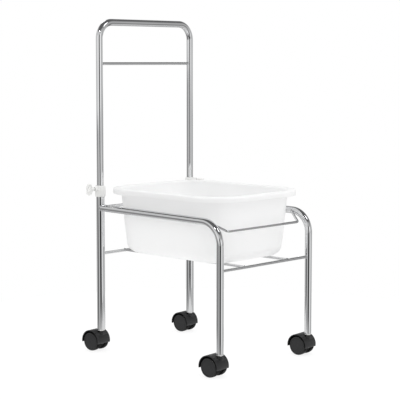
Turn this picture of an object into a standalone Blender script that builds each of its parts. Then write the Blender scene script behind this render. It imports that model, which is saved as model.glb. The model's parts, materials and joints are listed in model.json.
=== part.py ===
"""Pedicure foot bath: a chromed tube trolley with a lift-out tub and a telescopic handle.

Metres, +Z up. The front is -Y, the handle stands at the rear (+Y), left is -X.
The origin is on the floor, under the middle of the whole object's box.
"""
import math

import bmesh
import bpy
from mathutils import Matrix, Vector

GAP = 0.0003                  # clearance between pieces that touch

# Trolley frame
TRACK = 0.340                 # left leg axis to right leg axis
WHEELBASE = 0.432             # rear leg axis to front leg axis
MIDDLE_Y = -0.01946           # middle of the four legs, with the trailing casters in the box
REAR_Y = MIDDLE_Y + WHEELBASE / 2
FRONT_Y = MIDDLE_Y - WHEELBASE / 2
LEG_X = TRACK / 2
LEG_BOTTOM = 0.057
LEG_TOP = 0.4405
WALL = 0.0015
REAR_LEG_R = 0.011
RAIL_R = 0.00925
RAIL_REAR_Z = 0.384           # the side rails fall a little towards the front
RAIL_FRONT_Z = 0.379
RAIL_BEND = 0.055
ROD_R = 0.0038
LOWER_ROD_Z = 0.2613
UPPER_ROD_Z = 0.385
SUPPORT_ROD_X = 0.083
SUPPORT_ROD_R = 0.0035
SUPPORT_ROD_Z = 0.2628
GUARD_R = 0.0032
GUARD_END = (0.170, 0.058, 0.3824)      # from the front leg axis: sideways, rearwards; height
GUARD_CORNER = (0.135, 0.0073, 0.3548)
GUARD_BEND = 0.010

# Telescopic handle
HANDLE_R = 0.009
HANDLE_WALL = 0.0012
HANDLE_LOW_Z = 0.250
HANDLE_TOP_Z = 0.872
HANDLE_BEND = 0.043
CROSSBAR_Z = 0.7635
GLIDE_LENGTH = 0.015
GLIDE_R = 0.0092

# Clamps of the handle
COLLAR_LOW_Z = 0.4135
COLLAR_TOP_Z = 0.443
COLLAR_R = 0.0142
SCREW_Z = 0.4345
STUD_R = 0.0025
BOSS_R = 0.006
BOSS_END = 0.0205             # distances along the screw, from the leg axis
NUT_START = 0.0146
NUT_END = 0.0186
NUT_FLATS = 0.008
KNOB_START = 0.0240
KNOB_HUB_END = 0.0340
KNOB_CENTRE = 0.0385
KNOB_HUB_R = 0.0055
KNOB_HALF_WIDTH = 0.0085
KNOB_LOBE = 0.0067
KNOB_THICKNESS = 0.005

# Tub
TUB_HALF_X = 0.178
TUB_HALF_Y = 0.219
TUB_CORNER = 0.102
TUB_CORNER_TAPER = 0.92
TUB_RIM_TOP = 0.4385
TUB_RIM_LOW = 0.4215
TUB_WALL = 0.0025
TUB_INSET = 0.0207            # wall inside the rim's outer edge, at the rim's lower edge
TUB_DRAFT = 0.105
TUB_FILLET = 0.026
TUB_LOW = SUPPORT_ROD_Z + SUPPORT_ROD_R + GAP

# Casters
REST_ANGLE = math.radians(4.8)          # the casters rest turned a little
TRAIL = 0.0185
WHEEL_R = 0.0252
WHEEL_SEGMENTS = 24
AXLE_Z = WHEEL_R * math.cos(math.pi / WHEEL_SEGMENTS)
WHEEL_IN = 0.0068
WHEEL_OUT = 0.0238
AXLE_R = 0.003
AXLE_HALF = 0.0190
HOOD_OUT_R = 0.0294
HOOD_IN_R = 0.0270
HOOD_CENTRE = (TRAIL + 0.0010, AXLE_Z + 0.0010)
HOOD_FRONT_ANGLE = math.radians(190)
HOOD_REAR_ANGLE = math.radians(-8)
WEB_HALF = 0.0062
STEM_R = 0.004
STEM_LOW_Z = 0.036
STEM_TOP_Z = 0.0775
STEM_BOSS_R = 0.0064
STEM_BOSS_LOW = 0.040
STEM_BOSS_TOP = 0.0527
SHOULDER_R = 0.0056
SHOULDER_Z = (0.0530, 0.0535)
SOCKET_LOW_Z = 0.0538
SOCKET_DEPTH = 0.025
SOCKET_BORE = 0.0048
RING_Z = 0.071
RING_R = 0.0040
RING_WIRE = 0.0004

SIDES = {"left": -1, "right": 1}
CORNERS = {
    "front_left": (-LEG_X, FRONT_Y, RAIL_R),
    "front_right": (LEG_X, FRONT_Y, RAIL_R),
    "rear_left": (-LEG_X, REAR_Y, REAR_LEG_R),
    "rear_right": (LEG_X, REAR_Y, REAR_LEG_R),
}


# ---------------------------------------------------------------- materials and objects
def make_material(name, colour, roughness, metallic=0.0):
    """One Principled material."""
    material = bpy.data.materials.new(name)
    material.use_nodes = True
    shader = material.node_tree.nodes["Principled BSDF"]
    shader.inputs["Base Color"].default_value = (*colour, 1.0)
    shader.inputs["Roughness"].default_value = roughness
    shader.inputs["Metallic"].default_value = metallic
    return material


def add_empty(name, location, parent=None, turn=0.0):
    """An empty on a joint's axis, in world coordinates."""
    empty = bpy.data.objects.new(name, None)
    bpy.context.collection.objects.link(empty)
    if parent:
        empty.parent = parent
        empty.location = Vector(location) - parent.matrix_world.translation
    else:
        empty.location = location
    empty.rotation_euler.z = turn
    bpy.context.view_layer.update()
    return empty


def add_part(name, mesh, finish, parent=None, offset=(0, 0, 0), turn=0.0):
    """One named object for one physical piece, with its own material."""
    part = bpy.data.objects.new(name, mesh.copy())
    bpy.context.collection.objects.link(part)
    part.parent = parent
    part.location = offset
    part.rotation_euler.z = turn
    part.data.name = name
    part.data.materials.clear()
    part.data.materials.append(make_material(name, *finish))
    part.data.shade_smooth()
    part.data.set_sharp_from_angle(angle=math.radians(35))
    return part


# ---------------------------------------------------------------- mesh building
def finish_mesh(bm, name):
    """A mesh with its faces pointing out."""
    bmesh.ops.recalc_face_normals(bm, faces=bm.faces)
    mesh = bpy.data.meshes.new(name)
    bm.to_mesh(mesh)
    bm.free()
    return mesh


def bridge(bm, ring_a, ring_b):
    """Quads between two rings with the same number of points."""
    count = len(ring_a)
    for i in range(count):
        j = (i + 1) % count
        bm.faces.new((ring_a[i], ring_a[j], ring_b[j], ring_b[i]))


def rounded_path(corners, radius, steps):
    """A polyline whose inner corners are arcs."""
    corners = [Vector(c) for c in corners]
    path = [corners[0]]
    for before, corner, after in zip(corners, corners[1:], corners[2:]):
        towards_before = (before - corner).normalized()
        towards_after = (after - corner).normalized()
        half = towards_before.angle(towards_after) / 2
        middle = corner + (towards_before + towards_after).normalized() * radius / math.sin(half)
        start = corner + towards_before * radius / math.tan(half) - middle
        axis = start.cross(corner - middle).normalized()
        sweep = math.pi - 2 * half
        for k in range(steps + 1):
            path.append(middle + Matrix.Rotation(sweep * k / steps, 3, axis) @ start)
    path.append(corners[-1])
    return path


def sweep_rings(bm, path, radius, sides):
    """Rings of points around a path, without twist."""
    rings = []
    tangent = (path[1] - path[0]).normalized()
    normal = tangent.orthogonal().normalized()
    for i, point in enumerate(path):
        before = path[max(i - 1, 0)]
        after = path[min(i + 1, len(path) - 1)]
        new_tangent = (after - before).normalized()
        normal.rotate(tangent.rotation_difference(new_tangent))
        tangent = new_tangent
        side = tangent.cross(normal)
        ring = []
        for k in range(sides):
            angle = 2 * math.pi * (k + 0.5) / sides
            offset = normal * math.cos(angle) + side * math.sin(angle)
            ring.append(bm.verts.new(point + offset * radius))
        rings.append(ring)
    return rings


def tube(path, radius, sides, bore=None):
    """A bar along a path, or a tube when it has a bore."""
    bm = bmesh.new()
    outer = sweep_rings(bm, path, radius, sides)
    for a, b in zip(outer, outer[1:]):
        bridge(bm, a, b)
    if bore is None:
        bm.faces.new(outer[0])
        bm.faces.new(outer[-1])
    else:
        inner = sweep_rings(bm, path, bore, sides)
        for a, b in zip(inner, inner[1:]):
            bridge(bm, a, b)
        bridge(bm, outer[0], inner[0])
        bridge(bm, outer[-1], inner[-1])
    return finish_mesh(bm, "tube")


def turned(profile, segments, axis="Z", half_step=False):
    """A solid of revolution; the profile is (radius, distance along the axis), end to end.

    A profile that starts and ends on the axis makes a solid, any other one a ring.
    """
    bm = bmesh.new()
    phase = 0.5 if half_step else 0.0
    rings = []
    for radius, along in profile:
        if radius == 0:
            rings.append([bm.verts.new((0, 0, along))])
            continue
        ring = []
        for k in range(segments):
            angle = 2 * math.pi * (k + phase) / segments
            ring.append(bm.verts.new((radius * math.cos(angle), radius * math.sin(angle), along)))
        rings.append(ring)
    closed = len(rings[0]) > 1
    pairs = list(zip(rings, rings[1:]))
    if closed:
        pairs.append((rings[-1], rings[0]))
    for a, b in pairs:
        if len(a) > 1 and len(b) > 1:
            bridge(bm, a, b)
        else:
            tip, ring = (a[0], b) if len(a) == 1 else (b[0], a)
            for k in range(segments):
                bm.faces.new((ring[k], ring[(k + 1) % segments], tip))
    if axis == "X":
        bmesh.ops.rotate(bm, verts=bm.verts, matrix=Matrix.Rotation(math.pi / 2, 3, "Y"))
    return finish_mesh(bm, "turned")


def extruded(outline, low, high, axis):
    """A closed outline drawn in the YZ plane (axis X) or XZ plane (axis Y), made solid."""
    bm = bmesh.new()
    ends = []
    for level in (low, high):
        if axis == "X":
            ends.append([bm.verts.new((level, u, v)) for u, v in outline])
        else:
            ends.append([bm.verts.new((u, level, v)) for u, v in outline])
    bridge(bm, *ends)
    bm.faces.new(ends[0])
    bm.faces.new(ends[1])
    return finish_mesh(bm, "extruded")


def boolean(mesh, tool, operation):
    """The union or difference of two solids, as a new mesh."""
    base = bpy.data.objects.new("base", mesh)
    helper = bpy.data.objects.new("helper", tool)
    for item in (base, helper):
        bpy.context.collection.objects.link(item)
    modifier = base.modifiers.new("boolean", "BOOLEAN")
    modifier.operation = operation
    modifier.solver = "EXACT"
    modifier.object = helper
    depsgraph = bpy.context.evaluated_depsgraph_get()
    result = bpy.data.meshes.new_from_object(base.evaluated_get(depsgraph))
    bpy.data.objects.remove(base)
    bpy.data.objects.remove(helper)
    return result


def cut(mesh, *tools):
    """A solid with the tools taken out of it."""
    for tool in tools:
        mesh = boolean(mesh, tool, "DIFFERENCE")
    return mesh


def join(mesh, *tools):
    """A solid with the tools joined to it."""
    for tool in tools:
        mesh = boolean(mesh, tool, "UNION")
    return mesh


def mirrored(mesh, side):
    """The same piece for the left (-1) or right (+1) side; the drawing is for the right."""
    if side > 0:
        return mesh
    bm = bmesh.new()
    bm.from_mesh(mesh)
    bmesh.ops.scale(bm, vec=(-1, 1, 1), verts=bm.verts)
    bmesh.ops.reverse_faces(bm, faces=bm.faces)
    return finish_mesh(bm, "mirrored")


# ---------------------------------------------------------------- trolley frame
TUBE_SIDES = 20
ROD_SIDES = 12
BEND_STEPS = 6


def rear_leg_path():
    """The right rear leg's axis."""
    return [Vector((LEG_X, REAR_Y, LEG_BOTTOM)), Vector((LEG_X, REAR_Y, LEG_TOP))]


def rail_path():
    """The right side rail's axis: forwards from the rear leg, then down as the front leg."""
    return rounded_path(
        [
            (LEG_X, REAR_Y, RAIL_REAR_Z),
            (LEG_X, FRONT_Y, RAIL_FRONT_Z),
            (LEG_X, FRONT_Y, LEG_BOTTOM),
        ],
        RAIL_BEND,
        BEND_STEPS,
    )


def leg_space():
    """The space that a right rear leg takes from its neighbours."""
    return tube(rear_leg_path(), REAR_LEG_R + GAP, TUBE_SIDES)


def rail_space():
    """The space that a right side rail takes from its neighbours."""
    return tube(rail_path(), RAIL_R + GAP, TUBE_SIDES)


def both_sides(maker):
    """A space on the right and its mirror image on the left."""
    return [mirrored(maker(), side) for side in SIDES.values()]


def screw_hole(start, end):
    """The hole that a clamp screw passes through, on the right."""
    path = [Vector((LEG_X + start, REAR_Y, SCREW_Z)), Vector((LEG_X + end, REAR_Y, SCREW_Z))]
    return tube(path, STUD_R + GAP, ROD_SIDES)


def rear_leg():
    """A hollow leg that the handle slides into, with a hole for the clamp screw."""
    leg = tube(rear_leg_path(), REAR_LEG_R, TUBE_SIDES, REAR_LEG_R - WALL)
    return cut(leg, screw_hole(HANDLE_R / 2, BOSS_END))


def side_rail():
    """Rail and front leg in one bent tube, fitted to the rear leg."""
    rail = tube(rail_path(), RAIL_R, TUBE_SIDES, RAIL_R - WALL)
    return cut(rail, leg_space())


def cross_rod(y, z, radius):
    """A rod from one side of the trolley to the other."""
    return tube([Vector((-LEG_X, y, z)), Vector((LEG_X, y, z))], radius, ROD_SIDES)


def support_rod(x):
    """A rod from the rear to the front cross rod, which the tub stands on."""
    ends = [
        Vector((x, REAR_Y - ROD_R / 2, SUPPORT_ROD_Z)),
        Vector((x, FRONT_Y + ROD_R / 2, SUPPORT_ROD_Z)),
    ]
    spaces = [cross_rod(y, LOWER_ROD_Z, ROD_R + GAP) for y in (REAR_Y, FRONT_Y)]
    return cut(tube(ends, SUPPORT_ROD_R, ROD_SIDES), *spaces)


def guard_rod():
    """The front rod that keeps the tub from sliding off, with both ends on the side rails."""
    end = Vector((GUARD_END[0], FRONT_Y + GUARD_END[1], GUARD_END[2]))
    corner = Vector((GUARD_CORNER[0], FRONT_Y + GUARD_CORNER[1], GUARD_CORNER[2]))
    flip = Vector((-1, 1, 1))
    path = rounded_path([flip * end, flip * corner, corner, end], GUARD_BEND, BEND_STEPS)
    return cut(tube(path, GUARD_R, ROD_SIDES), *both_sides(rail_space))


def leg_socket(x, y, outer_radius):
    """The plastic plug in a leg's end, which holds a caster's stem."""
    plug = outer_radius - WALL - GAP
    flange = outer_radius - 0.0004
    underside = LEG_BOTTOM - GAP
    profile = [
        (SOCKET_BORE, SOCKET_LOW_Z),
        (0.0062, SOCKET_LOW_Z),
        (0.0070, underside - 0.0010),
        (flange, underside - 0.0008),
        (flange, underside),
        (plug, underside),
        (plug, LEG_BOTTOM + SOCKET_DEPTH),
        (SOCKET_BORE, LEG_BOTTOM + SOCKET_DEPTH),
    ]
    return turned(profile, 16)


def add_frame(chrome, plastic, steel):
    """Everything that is welded or fixed together."""
    root = add_empty("trolley", (0, 0, 0))
    for label, side in SIDES.items():
        add_part(f"{label}_rear_leg", mirrored(rear_leg(), side), chrome, root)
        add_part(f"{label}_side_rail", mirrored(side_rail(), side), chrome, root)
        add_part(f"{label}_support_rod", support_rod(side * SUPPORT_ROD_X), chrome, root)
        add_part(f"{label}_collar", mirrored(collar(), side), plastic, root)
        add_part(f"{label}_clamp_nut", mirrored(clamp_nut(), side), steel, root)
    legs = both_sides(leg_space)
    rails = both_sides(rail_space)
    rods = {
        "rear_upper_rod": (REAR_Y, UPPER_ROD_Z, legs),
        "rear_lower_rod": (REAR_Y, LOWER_ROD_Z, legs),
        "front_lower_rod": (FRONT_Y, LOWER_ROD_Z, rails),
    }
    for name, (y, z, spaces) in rods.items():
        add_part(name, cut(cross_rod(y, z, ROD_R), *spaces), chrome, root)
    add_part("front_guard_rod", guard_rod(), chrome, root)
    for corner, (x, y, radius) in CORNERS.items():
        add_part(f"{corner}_leg_socket", leg_socket(x, y, radius), plastic, root, (x, y, 0))
        add_part(f"{corner}_grip_ring", grip_ring(), steel, root, (x, y, RING_Z))
    return root


# ---------------------------------------------------------------- handle and its clamps
def collar():
    """The plastic sleeve on a rear leg's top, with the screw's boss and the nut's pocket."""
    bore = REAR_LEG_R + GAP
    mouth = HANDLE_R + GAP
    profile = [
        (bore, COLLAR_LOW_Z),
        (COLLAR_R - 0.0010, COLLAR_LOW_Z),
        (COLLAR_R, COLLAR_LOW_Z + 0.0040),
        (COLLAR_R, COLLAR_TOP_Z - 0.0050),
        (COLLAR_R - 0.0022, COLLAR_TOP_Z),
        (mouth, COLLAR_TOP_Z),
        (mouth, LEG_TOP + GAP),
        (bore, LEG_TOP + GAP),
    ]
    sleeve = turned(profile, TUBE_SIDES, half_step=True)
    sleeve.transform(Matrix.Translation((LEG_X, REAR_Y, 0)))
    start = Vector((LEG_X + (bore + COLLAR_R) / 2, REAR_Y, SCREW_Z))
    boss = tube([start, Vector((LEG_X + BOSS_END, REAR_Y, SCREW_Z))], BOSS_R, 16)
    return cut(join(sleeve, boss), nut_solid(GAP), screw_hole(HANDLE_R, 2 * BOSS_END))


def nut_solid(growth):
    """A hexagonal nut without its thread; growth makes the pocket that holds it."""
    radius = (NUT_FLATS / 2 + growth) / math.cos(math.pi / 6)
    start = Vector((LEG_X + NUT_START - growth, REAR_Y, SCREW_Z))
    end = Vector((LEG_X + NUT_END + growth, REAR_Y, SCREW_Z))
    return tube([start, end], radius, 6)


def clamp_nut():
    """The nut that the clamp screw runs in."""
    return cut(nut_solid(0), screw_hole(HANDLE_R, 2 * BOSS_END))


def clamp_stud():
    """The threaded stud, from the handle tube into the knob, drawn from the leg axis."""
    start = HANDLE_R + GAP
    end = KNOB_HUB_END - 0.002
    profile = [(0, start), (STUD_R, start), (STUD_R, end), (0, end)]
    return turned(profile, ROD_SIDES, axis="X", half_step=True)


def knob_outline():
    """A long oval with a lobe above and one below the hub."""
    points = []
    count = 28
    for k in range(count):
        angle = 2 * math.pi * k / count
        rise = abs(math.sin(angle))
        reach = KNOB_HALF_WIDTH + KNOB_LOBE * rise ** 1.6
        points.append((KNOB_CENTRE + reach * math.cos(angle), reach * math.sin(angle)))
    return points


def wing_knob():
    """The knob of the clamp screw: a hub with two lobes and a blind hole for the stud."""
    hub_profile = [
        (0, KNOB_START),
        (KNOB_HUB_R, KNOB_START),
        (KNOB_HUB_R, KNOB_HUB_END),
        (0, KNOB_HUB_END),
    ]
    hub = turned(hub_profile, 16, axis="X", half_step=True)
    lobes = extruded(knob_outline(), -KNOB_THICKNESS / 2, KNOB_THICKNESS / 2, "Y")
    hole_profile = [
        (0, KNOB_START - 0.001),
        (STUD_R + GAP, KNOB_START - 0.001),
        (STUD_R + GAP, KNOB_HUB_END - 0.002 + GAP),
        (0, KNOB_HUB_END - 0.002 + GAP),
    ]
    hole = turned(hole_profile, ROD_SIDES, axis="X", half_step=True)
    return cut(join(lobes, hub), hole)


def handle_tube():
    """The U of the handle, open at its two lower ends."""
    path = rounded_path(
        [
            (-LEG_X, 0, HANDLE_LOW_Z),
            (-LEG_X, 0, HANDLE_TOP_Z),
            (LEG_X, 0, HANDLE_TOP_Z),
            (LEG_X, 0, HANDLE_LOW_Z),
        ],
        HANDLE_BEND,
        BEND_STEPS + 2,
    )
    return tube(path, HANDLE_R, TUBE_SIDES, HANDLE_R - HANDLE_WALL)


def handle_crossbar():
    """The rod between the two sides of the handle."""
    rod = cross_rod(0, CROSSBAR_Z, ROD_R)
    spaces = []
    for side in SIDES.values():
        x = side * LEG_X
        path = [Vector((x, 0, HANDLE_LOW_Z)), Vector((x, 0, HANDLE_TOP_Z))]
        spaces.append(tube(path, HANDLE_R + GAP, TUBE_SIDES))
    return cut(rod, *spaces)


def handle_glide():
    """The plastic plug that closes and guides a lower end of the handle."""
    plug = HANDLE_R - HANDLE_WALL - GAP
    shoulder = HANDLE_LOW_Z - GAP
    profile = [
        (0, HANDLE_LOW_Z - GLIDE_LENGTH),
        (GLIDE_R - 0.002, HANDLE_LOW_Z - GLIDE_LENGTH),
        (GLIDE_R, HANDLE_LOW_Z - GLIDE_LENGTH + 0.002),
        (GLIDE_R, shoulder),
        (plug, shoulder),
        (plug, HANDLE_LOW_Z + GLIDE_LENGTH),
        (0, HANDLE_LOW_Z + GLIDE_LENGTH),
    ]
    return turned(profile, TUBE_SIDES, half_step=True)


def add_handle(root, chrome, plastic):
    """The sliding handle."""
    axis = add_empty("handle_slide", (0, REAR_Y, 0), root)
    add_part("handle_tube", handle_tube(), chrome, axis)
    add_part("handle_crossbar", handle_crossbar(), chrome, axis)
    for label, side in SIDES.items():
        add_part(f"{label}_handle_glide", handle_glide(), plastic, axis, (side * LEG_X, 0, 0))


def add_clamp_screws(root, plastic, steel):
    """Two wing screws: the left knob's lobes stand upright, the right one's lie level."""
    quarter_turn = Matrix.Rotation(math.pi / 2, 4, "X")
    for label, side in SIDES.items():
        axis = add_empty(f"{label}_screw_axis", (side * LEG_X, REAR_Y, SCREW_Z), root)
        knob = mirrored(wing_knob(), side)
        if side > 0:
            knob.transform(quarter_turn)
        add_part(f"{label}_wing_knob", knob, plastic, axis)
        add_part(f"{label}_clamp_stud", mirrored(clamp_stud(), side), steel, axis)


# ---------------------------------------------------------------- tub
def rounded_rectangle(inset, height):
    """Points of the tub's outline at one height, inset from the rim's outer edge."""
    radius = TUB_CORNER - TUB_CORNER_TAPER * inset
    across = TUB_HALF_X - inset - radius
    along = TUB_HALF_Y - inset - radius
    steps = 7
    points = []
    for quarter, (sign_x, sign_y) in enumerate(((1, 1), (-1, 1), (-1, -1), (1, -1))):
        for k in range(steps + 1):
            angle = math.pi / 2 * (quarter + k / steps)
            x = sign_x * across + radius * math.cos(angle)
            y = sign_y * along + radius * math.sin(angle)
            points.append((x, y, height))
    return points


def wall_inset(height):
    """How far the outer wall stands inside the rim's edge at a height."""
    return TUB_INSET + (TUB_RIM_LOW - height) * TUB_DRAFT


def fillet_levels(low, radius, extra):
    """Inset and height pairs from the flat bottom round to the wall."""
    levels = []
    steps = 5
    for k in range(steps + 1):
        angle = math.pi / 2 * k / steps
        height = low + radius * (1 - math.cos(angle))
        levels.append((wall_inset(height) + extra + radius * (1 - math.sin(angle)), height))
    return levels


def tub():
    """A moulded tub with drafted walls, a rounded bottom and a turned-down rim."""
    inner_edge = wall_inset(TUB_RIM_TOP) + TUB_WALL
    underside = TUB_RIM_TOP - TUB_WALL
    levels = fillet_levels(TUB_LOW, TUB_FILLET, 0)
    levels += [
        (wall_inset(underside), underside),
        (TUB_WALL, underside - 0.001),
        (TUB_WALL, TUB_RIM_LOW),
        (0.0005, TUB_RIM_LOW),
        (0, TUB_RIM_LOW + 0.0020),
        (0, TUB_RIM_TOP - 0.0050),
        (0.0015, TUB_RIM_TOP - 0.0015),
        (0.0050, TUB_RIM_TOP),
        (inner_edge - 0.0050, TUB_RIM_TOP),
        (inner_edge - 0.0010, TUB_RIM_TOP - 0.0020),
        (inner_edge, TUB_RIM_TOP - 0.0060),
    ]
    levels += reversed(fillet_levels(TUB_LOW + TUB_WALL, TUB_FILLET - TUB_WALL, TUB_WALL))
    bm = bmesh.new()
    rings = []
    for inset, height in levels:
        rings.append([bm.verts.new(point) for point in rounded_rectangle(inset, height)])
    for a, b in zip(rings, rings[1:]):
        bridge(bm, a, b)
    bm.faces.new(rings[0])
    bm.faces.new(rings[-1])
    return finish_mesh(bm, "tub")


def add_tub(root, plastic):
    """The lift-out tub, which stands on the two support rods."""
    axis = add_empty("tub_lift", (0, MIDDLE_Y, TUB_LOW), root)
    mesh = tub()
    mesh.transform(Matrix.Translation((0, 0, -TUB_LOW)))
    add_part("tub", mesh, plastic, axis)


# ---------------------------------------------------------------- casters, drawn from the stem axis
def hood_arc(radius, steps=18):
    """Points over the wheels, from the front edge to the rear edge."""
    points = []
    for k in range(steps + 1):
        angle = HOOD_FRONT_ANGLE + (HOOD_REAR_ANGLE - HOOD_FRONT_ANGLE) * k / steps
        y = HOOD_CENTRE[0] + radius * math.cos(angle)
        points.append((y, HOOD_CENTRE[1] + radius * math.sin(angle)))
    return points


def caster_housing():
    """Hood, middle web and stem boss in one moulding, with its stem and axle holes."""
    hood = extruded(hood_arc(HOOD_OUT_R) + hood_arc(HOOD_IN_R)[::-1], -WHEEL_OUT, WHEEL_OUT, "X")
    inside = (HOOD_OUT_R + HOOD_IN_R) / 2
    below_axle = AXLE_Z - 0.009
    web_outline = hood_arc(inside)
    web_outline += [
        (TRAIL + 0.009, below_axle),
        (TRAIL - 0.009, below_axle),
        (HOOD_CENTRE[0] - inside + 0.006, below_axle + 0.001),
    ]
    web = extruded(web_outline, -WEB_HALF, WEB_HALF, "X")
    boss = tube([Vector((0, 0, STEM_BOSS_LOW)), Vector((0, 0, STEM_BOSS_TOP))], STEM_BOSS_R, 16)
    stem_ends = [Vector((0, 0, STEM_LOW_Z - GAP)), Vector((0, 0, SOCKET_LOW_Z))]
    stem_hole = tube(stem_ends, STEM_R + GAP, ROD_SIDES)
    axle_ends = [Vector((-WHEEL_OUT, TRAIL, AXLE_Z)), Vector((WHEEL_OUT, TRAIL, AXLE_Z))]
    axle_hole = tube(axle_ends, AXLE_R + GAP, ROD_SIDES)
    return cut(join(hood, web, boss), stem_hole, axle_hole)


def caster_stem():
    """The pin that swivels in a leg's socket, with a thrust shoulder and a ring groove."""
    groove = STEM_R - 0.0008
    profile = [
        (0, STEM_LOW_Z),
        (STEM_R, STEM_LOW_Z),
        (STEM_R, SHOULDER_Z[0]),
        (SHOULDER_R, SHOULDER_Z[0]),
        (SHOULDER_R, SHOULDER_Z[1]),
        (STEM_R, SHOULDER_Z[1]),
        (STEM_R, RING_Z - 0.0010),
        (groove, RING_Z - 0.0010),
        (groove, RING_Z + 0.0010),
        (STEM_R, RING_Z + 0.0010),
        (STEM_R, STEM_TOP_Z - 0.0012),
        (STEM_R - 0.0012, STEM_TOP_Z),
        (0, STEM_TOP_Z),
    ]
    return turned(profile, 12)


def grip_ring():
    """The split ring in a stem's groove, which holds the stem in its socket."""
    opening = math.radians(30)
    steps = 12
    path = []
    for k in range(steps + 1):
        angle = opening / 2 + (2 * math.pi - opening) * k / steps
        path.append(Vector((RING_R * math.cos(angle), RING_R * math.sin(angle), 0)))
    return tube(path, RING_WIRE, 6)


def wheel():
    """A plain nylon wheel with a blind axle bore, its outer face towards +X."""
    bore = AXLE_R + GAP
    face = WHEEL_OUT - 0.0006
    bore_end = AXLE_HALF + GAP
    profile = [
        (0, face),
        (0.0185, face),
        (0.0192, WHEEL_OUT),
        (WHEEL_R - 0.0018, WHEEL_OUT),
        (WHEEL_R, WHEEL_OUT - 0.0022),
        (WHEEL_R, WHEEL_IN + 0.0010),
        (WHEEL_R - 0.0010, WHEEL_IN),
        (bore, WHEEL_IN),
        (bore, bore_end),
        (0, bore_end),
    ]
    return turned(profile, WHEEL_SEGMENTS, axis="X", half_step=True)


def add_caster(corner, x, y, root, black, steel, meshes):
    """One swivelling twin-wheel caster."""
    swivel = add_empty(f"{corner}_swivel", (x, y, 0), root, REST_ANGLE)
    add_part(f"{corner}_caster_housing", meshes["housing"], black, swivel)
    add_part(f"{corner}_caster_stem", meshes["stem"], steel, swivel)
    add_part(f"{corner}_caster_axle", meshes["axle"], steel, swivel, (0, TRAIL, AXLE_Z))
    for label, side in SIDES.items():
        wheel_mesh = meshes[f"{label}_wheel"]
        add_part(f"{corner}_caster_{label}_wheel", wheel_mesh, black, swivel, (0, TRAIL, AXLE_Z))


def add_casters(root, black, steel):
    """Four alike, each on its own leg."""
    axle_profile = [(0, -AXLE_HALF), (AXLE_R, -AXLE_HALF), (AXLE_R, AXLE_HALF), (0, AXLE_HALF)]
    meshes = {
        "housing": caster_housing(),
        "stem": caster_stem(),
        "axle": turned(axle_profile, ROD_SIDES, axis="X", half_step=True),
        "left_wheel": mirrored(wheel(), -1),
        "right_wheel": wheel(),
    }
    for corner, (x, y, _) in CORNERS.items():
        add_caster(corner, x, y, root, black, steel, meshes)


def main():
    for item in list(bpy.data.objects):
        bpy.data.objects.remove(item)
    chrome = ((0.80, 0.81, 0.82), 0.08, 1.0)
    steel = ((0.62, 0.62, 0.63), 0.30, 1.0)
    white_tub = ((0.90, 0.90, 0.90), 0.35)
    white_clamp = ((0.86, 0.86, 0.85), 0.40)
    black = ((0.035, 0.036, 0.038), 0.45)
    root = add_frame(chrome, white_clamp, steel)
    add_handle(root, chrome, white_clamp)
    add_clamp_screws(root, white_clamp, steel)
    add_tub(root, white_tub)
    add_casters(root, black, steel)


main()
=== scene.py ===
"""Looks of the pedicure foot bath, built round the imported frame.

Metres, +Z up. The front is -Y, the handle stands at the rear (+Y), left is -X. Every piece is drawn
where the frame's own boxes and joints say, rides on its body and takes the place of its CAD nodes.
"""

import json
import math

import bmesh
import bpy
from mathutils import Matrix, Vector


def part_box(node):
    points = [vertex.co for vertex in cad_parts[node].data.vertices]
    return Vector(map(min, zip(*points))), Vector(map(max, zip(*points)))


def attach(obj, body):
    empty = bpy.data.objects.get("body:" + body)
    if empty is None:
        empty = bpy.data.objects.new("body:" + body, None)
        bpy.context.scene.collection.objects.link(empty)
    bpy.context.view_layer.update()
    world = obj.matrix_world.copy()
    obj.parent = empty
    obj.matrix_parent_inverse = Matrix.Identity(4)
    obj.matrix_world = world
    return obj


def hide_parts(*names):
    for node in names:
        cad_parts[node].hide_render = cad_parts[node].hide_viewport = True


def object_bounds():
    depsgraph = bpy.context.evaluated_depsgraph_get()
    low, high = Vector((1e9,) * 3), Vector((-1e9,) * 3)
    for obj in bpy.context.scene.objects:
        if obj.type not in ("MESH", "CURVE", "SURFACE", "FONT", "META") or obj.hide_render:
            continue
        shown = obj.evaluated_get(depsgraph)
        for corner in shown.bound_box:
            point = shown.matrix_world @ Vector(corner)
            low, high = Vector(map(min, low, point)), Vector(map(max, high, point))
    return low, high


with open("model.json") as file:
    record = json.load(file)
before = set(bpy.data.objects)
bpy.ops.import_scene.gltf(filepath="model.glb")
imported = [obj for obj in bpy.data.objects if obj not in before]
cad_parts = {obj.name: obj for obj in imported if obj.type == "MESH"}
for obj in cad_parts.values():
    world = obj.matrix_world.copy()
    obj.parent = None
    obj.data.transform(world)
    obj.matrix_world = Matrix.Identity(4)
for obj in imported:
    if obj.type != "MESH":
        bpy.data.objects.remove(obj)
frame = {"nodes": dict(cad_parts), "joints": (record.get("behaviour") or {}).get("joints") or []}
CAD_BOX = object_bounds()
JOINTS = {joint["name"]: joint for joint in frame["joints"]}

SIDES = {"left": -1, "right": 1}
CORNERS = ("front_left", "front_right", "rear_left", "rear_right")
FRAME_BODY = "trolley_frame"

# Tubes and rods of the trolley and the handle
REAR_LEG_R = 0.011
RAIL_R = 0.00925
LEG_WALL = 0.0015
ROD_R = 0.0038
SUPPORT_ROD_R = 0.0035
GUARD_R = 0.0032
HANDLE_R = 0.009
HANDLE_WALL = 0.0012
RAIL_BEND = 0.055
RAIL_FALL = 0.005             # the side rails fall this much towards the front
HANDLE_BEND = 0.043
GUARD_END = (0.058, 0.0024)   # rearwards of the front legs; height over the rail's axis there
GUARD_CORNER = (0.135, 0.0073)
GUARD_BEND = 0.010
TUBE_SIDES = 56
ROD_SIDES = 28
BEND_STEPS = 22
WELD_R = 0.0013
ROD_WELD_R = 0.0009

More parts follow.
